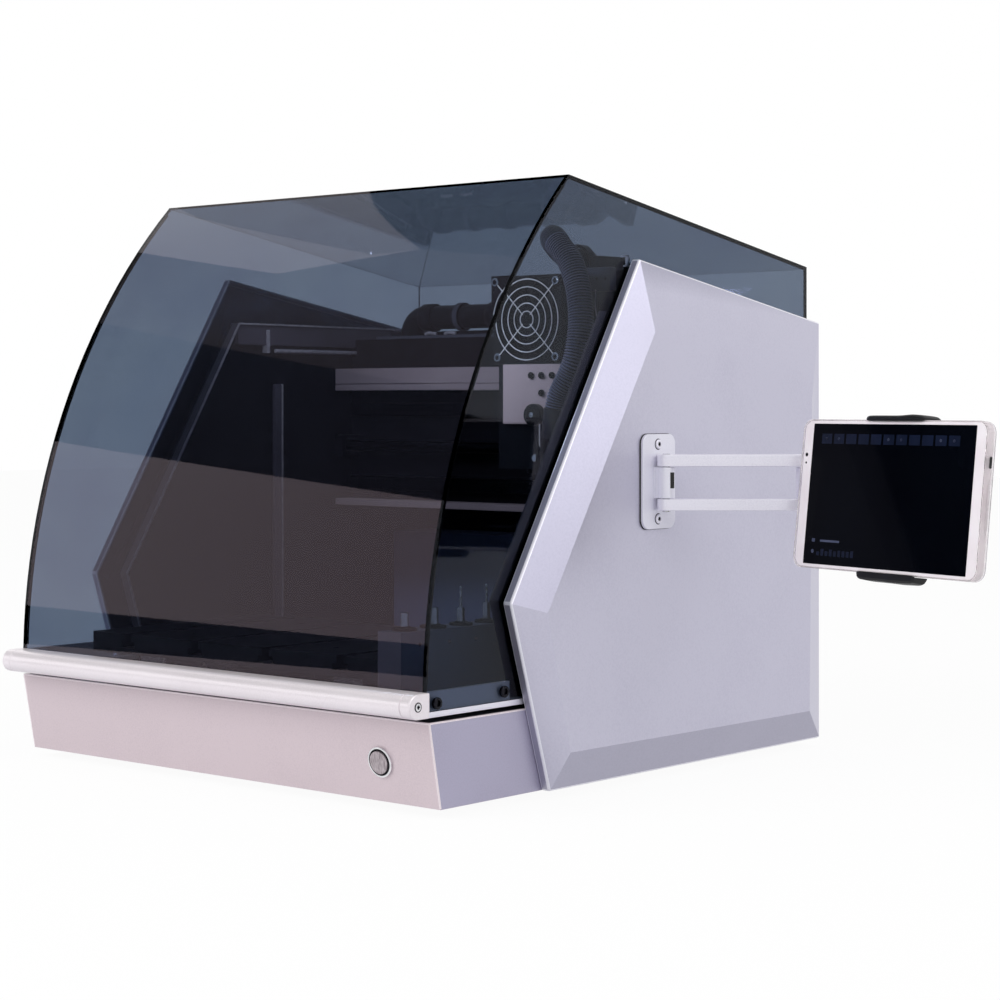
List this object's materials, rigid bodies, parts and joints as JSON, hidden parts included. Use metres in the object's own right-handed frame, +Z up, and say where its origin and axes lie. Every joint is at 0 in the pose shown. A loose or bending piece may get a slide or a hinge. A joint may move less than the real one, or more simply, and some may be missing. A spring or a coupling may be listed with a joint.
{
  "type": "desktop cnc mill",
  "caption": "Enclosed desktop milling machine: smoked hinged cover with grip bar, faceted side covers, moving bed, beam-mounted spindle head, tool rack and a tablet on a folding arm.",
  "frame": {"origin": "centre of the base's footprint, on the bench under the feet", "axes": "+X to the user's right as they face the front, +Y towards the back, +Z up"},
  "size_m": [0.7874, 0.5203, 0.4643],
  "materials": {
    "shell_paint": "satin pearl paint",
    "base_paint": "satin pearl paint",
    "smoked_acrylic": "polished smoked acrylic",
    "bright_aluminium": "brushed and clear anodised",
    "black_anodised": "bead blasted, black anodised",
    "black_sheet": "matt black powder coat",
    "grey_sheet": "matt grey powder coat",
    "black_plastic": "moulded",
    "hose_plastic": "ridged flexible hose",
    "ground_steel": "ground",
    "dark_steel": "black oxide",
    "chrome_trim": "polished",
    "rubber_black": "moulded",
    "board_green": "circuit board",
    "tablet_case": "moulded",
    "tablet_glass": "dark display glass"
  },
  "bodies": {
    "frame": {"base_tub": "base_paint", "feet": "rubber_black", "deck_plate": "black_sheet", "left_side_cover": "shell_paint", "right_side_cover": "shell_paint", "inner_walls": "black_sheet", "rear_panel": "black_sheet", "rear_lower_cover": "grey_sheet", "side_brackets": "dark_steel", "beam_plate": "black_anodised", "beam_top_extrusion": "bright_aluminium", "beam_lower_strip": "bright_aluminium", "linear_rails": "dark_steel", "drive_motors": "black_sheet", "top_tray": "grey_sheet", "extraction_tube": "black_plastic", "power_supply": "ground_steel", "control_board": "board_green", "power_inlet": "black_plastic", "button_bezel": "chrome_trim", "arm_bracket": "bright_aluminium", "bracket_screws": "ground_steel", "bracket_pin": "dark_steel"},
    "button": {"button_cap": "chrome_trim"},
    "lid": {"lid_sheet": "smoked_acrylic", "lid_side_panels": "smoked_acrylic", "lid_bar": "bright_aluminium", "bar_end_caps": "bright_aluminium", "lid_side_rails": "bright_aluminium", "lid_screws": "dark_steel"},
    "bed": {"bed_plate": "black_anodised", "bed_blocks": "ground_steel", "tool_magazine": "black_anodised", "stored_cutters": "ground_steel"},
    "x_carriage": {"x_plate": "black_anodised", "x_blocks": "ground_steel", "z_motor": "black_sheet", "rear_hose": "hose_plastic"},
    "z_head": {"z_plate": "black_anodised", "head_block": "black_anodised", "spindle_body": "dark_steel", "fan_box": "black_sheet", "fan_frame": "black_plastic", "fan_grille": "chrome_trim", "head_trim_plate": "bright_aluminium", "head_screws": "ground_steel", "hose_socket": "black_plastic", "front_hose": "hose_plastic"},
    "spindle": {"spindle_shaft": "ground_steel"},
    "fan": {"fan_rotor": "black_plastic"},
    "x_drive": {"x_screw": "ground_steel"},
    "y_drive": {"y_screw": "ground_steel"},
    "z_drive": {"z_screw": "ground_steel"},
    "arm": {"arm_bars": "bright_aluminium", "elbow_pin": "dark_steel"},
    "link": {"swivel_link": "bright_aluminium"},
    "tablet_holder": {"tablet_clamp": "black_plastic", "tablet_body": "tablet_case", "tablet_screen": "tablet_glass"},
    "jaw": {"upper_jaw": "black_plastic"}
  },
  "joints": [
    {"name": "lid_hinge", "type": "hinge", "parent": "frame", "child": "lid", "pos_m": [0, 0.22, 0.352], "axis": [-1, 0, 0], "range_deg": [0, 60]},
    {"name": "bed_slide", "type": "slide", "parent": "frame", "child": "bed", "axis": [0, 1, 0], "range_m": [0, 0.2]},
    {"name": "head_slide_x", "type": "slide", "parent": "frame", "child": "x_carriage", "axis": [1, 0, 0], "range_m": [-0.265, 0.03], "deforming": ["rear_hose"]},
    {"name": "head_slide_z", "type": "slide", "parent": "x_carriage", "child": "z_head", "axis": [0, 0, -1], "range_m": [0, 0.07], "deforming": ["front_hose"]},
    {"name": "x_screw_turn", "type": "hinge", "parent": "frame", "child": "x_drive", "pos_m": [0, 0.117, 0.253], "axis": [1, 0, 0], "continuous": true},
    {"name": "y_screw_turn", "type": "hinge", "parent": "frame", "child": "y_drive", "pos_m": [0, -0.042, 0.081], "axis": [0, 1, 0], "continuous": true},
    {"name": "z_screw_turn", "type": "hinge", "parent": "x_carriage", "child": "z_drive", "pos_m": [0.105, 0.089, 0.277], "axis": [0, 0, 1], "continuous": true},
    {"name": "spindle_turn", "type": "hinge", "parent": "z_head", "child": "spindle", "pos_m": [0.105, 0.048, 0.247], "axis": [0, 0, 1], "continuous": true},
    {"name": "fan_turn", "type": "hinge", "parent": "z_head", "child": "fan", "pos_m": [0.105, 0.02, 0.361], "axis": [0, 1, 0], "continuous": true},
    {"name": "power_button_press", "type": "slide", "parent": "frame", "child": "button", "axis": [0, 0.9832, 0.1824], "range_m": [0, 0.002], "stiffness_N_per_m": 600},
    {"name": "arm_swing", "type": "hinge", "parent": "frame", "child": "arm", "pos_m": [0.26, -0.0088, 0.232], "axis": [0, 0, 1], "range_deg": [-25, 25]},
    {"name": "elbow_swing", "type": "hinge", "parent": "arm", "child": "link", "pos_m": [0.3385, 0.064, 0.231], "axis": [0, 0, 1], "range_deg": [-30, 40]},
    {"name": "tablet_tilt", "type": "hinge", "parent": "link", "child": "tablet_holder", "pos_m": [0.45011, 0.03713, 0.231], "axis": [0.9722, -0.2341, 0], "range_deg": [-20, 20]},
    {"name": "jaw_slide", "type": "slide", "parent": "tablet_holder", "child": "jaw", "axis": [0.0298, 0.1074, 0.9938], "range_m": [0, 0.02], "stiffness_N_per_m": 300}
  ],
  "couplings": [
    {"joint": "x_screw_turn", "follows": "head_slide_x", "rad_per_m": 628.32},
    {"joint": "y_screw_turn", "follows": "bed_slide", "rad_per_m": 628.32},
    {"joint": "z_screw_turn", "follows": "head_slide_z", "rad_per_m": 628.32}
  ]
}
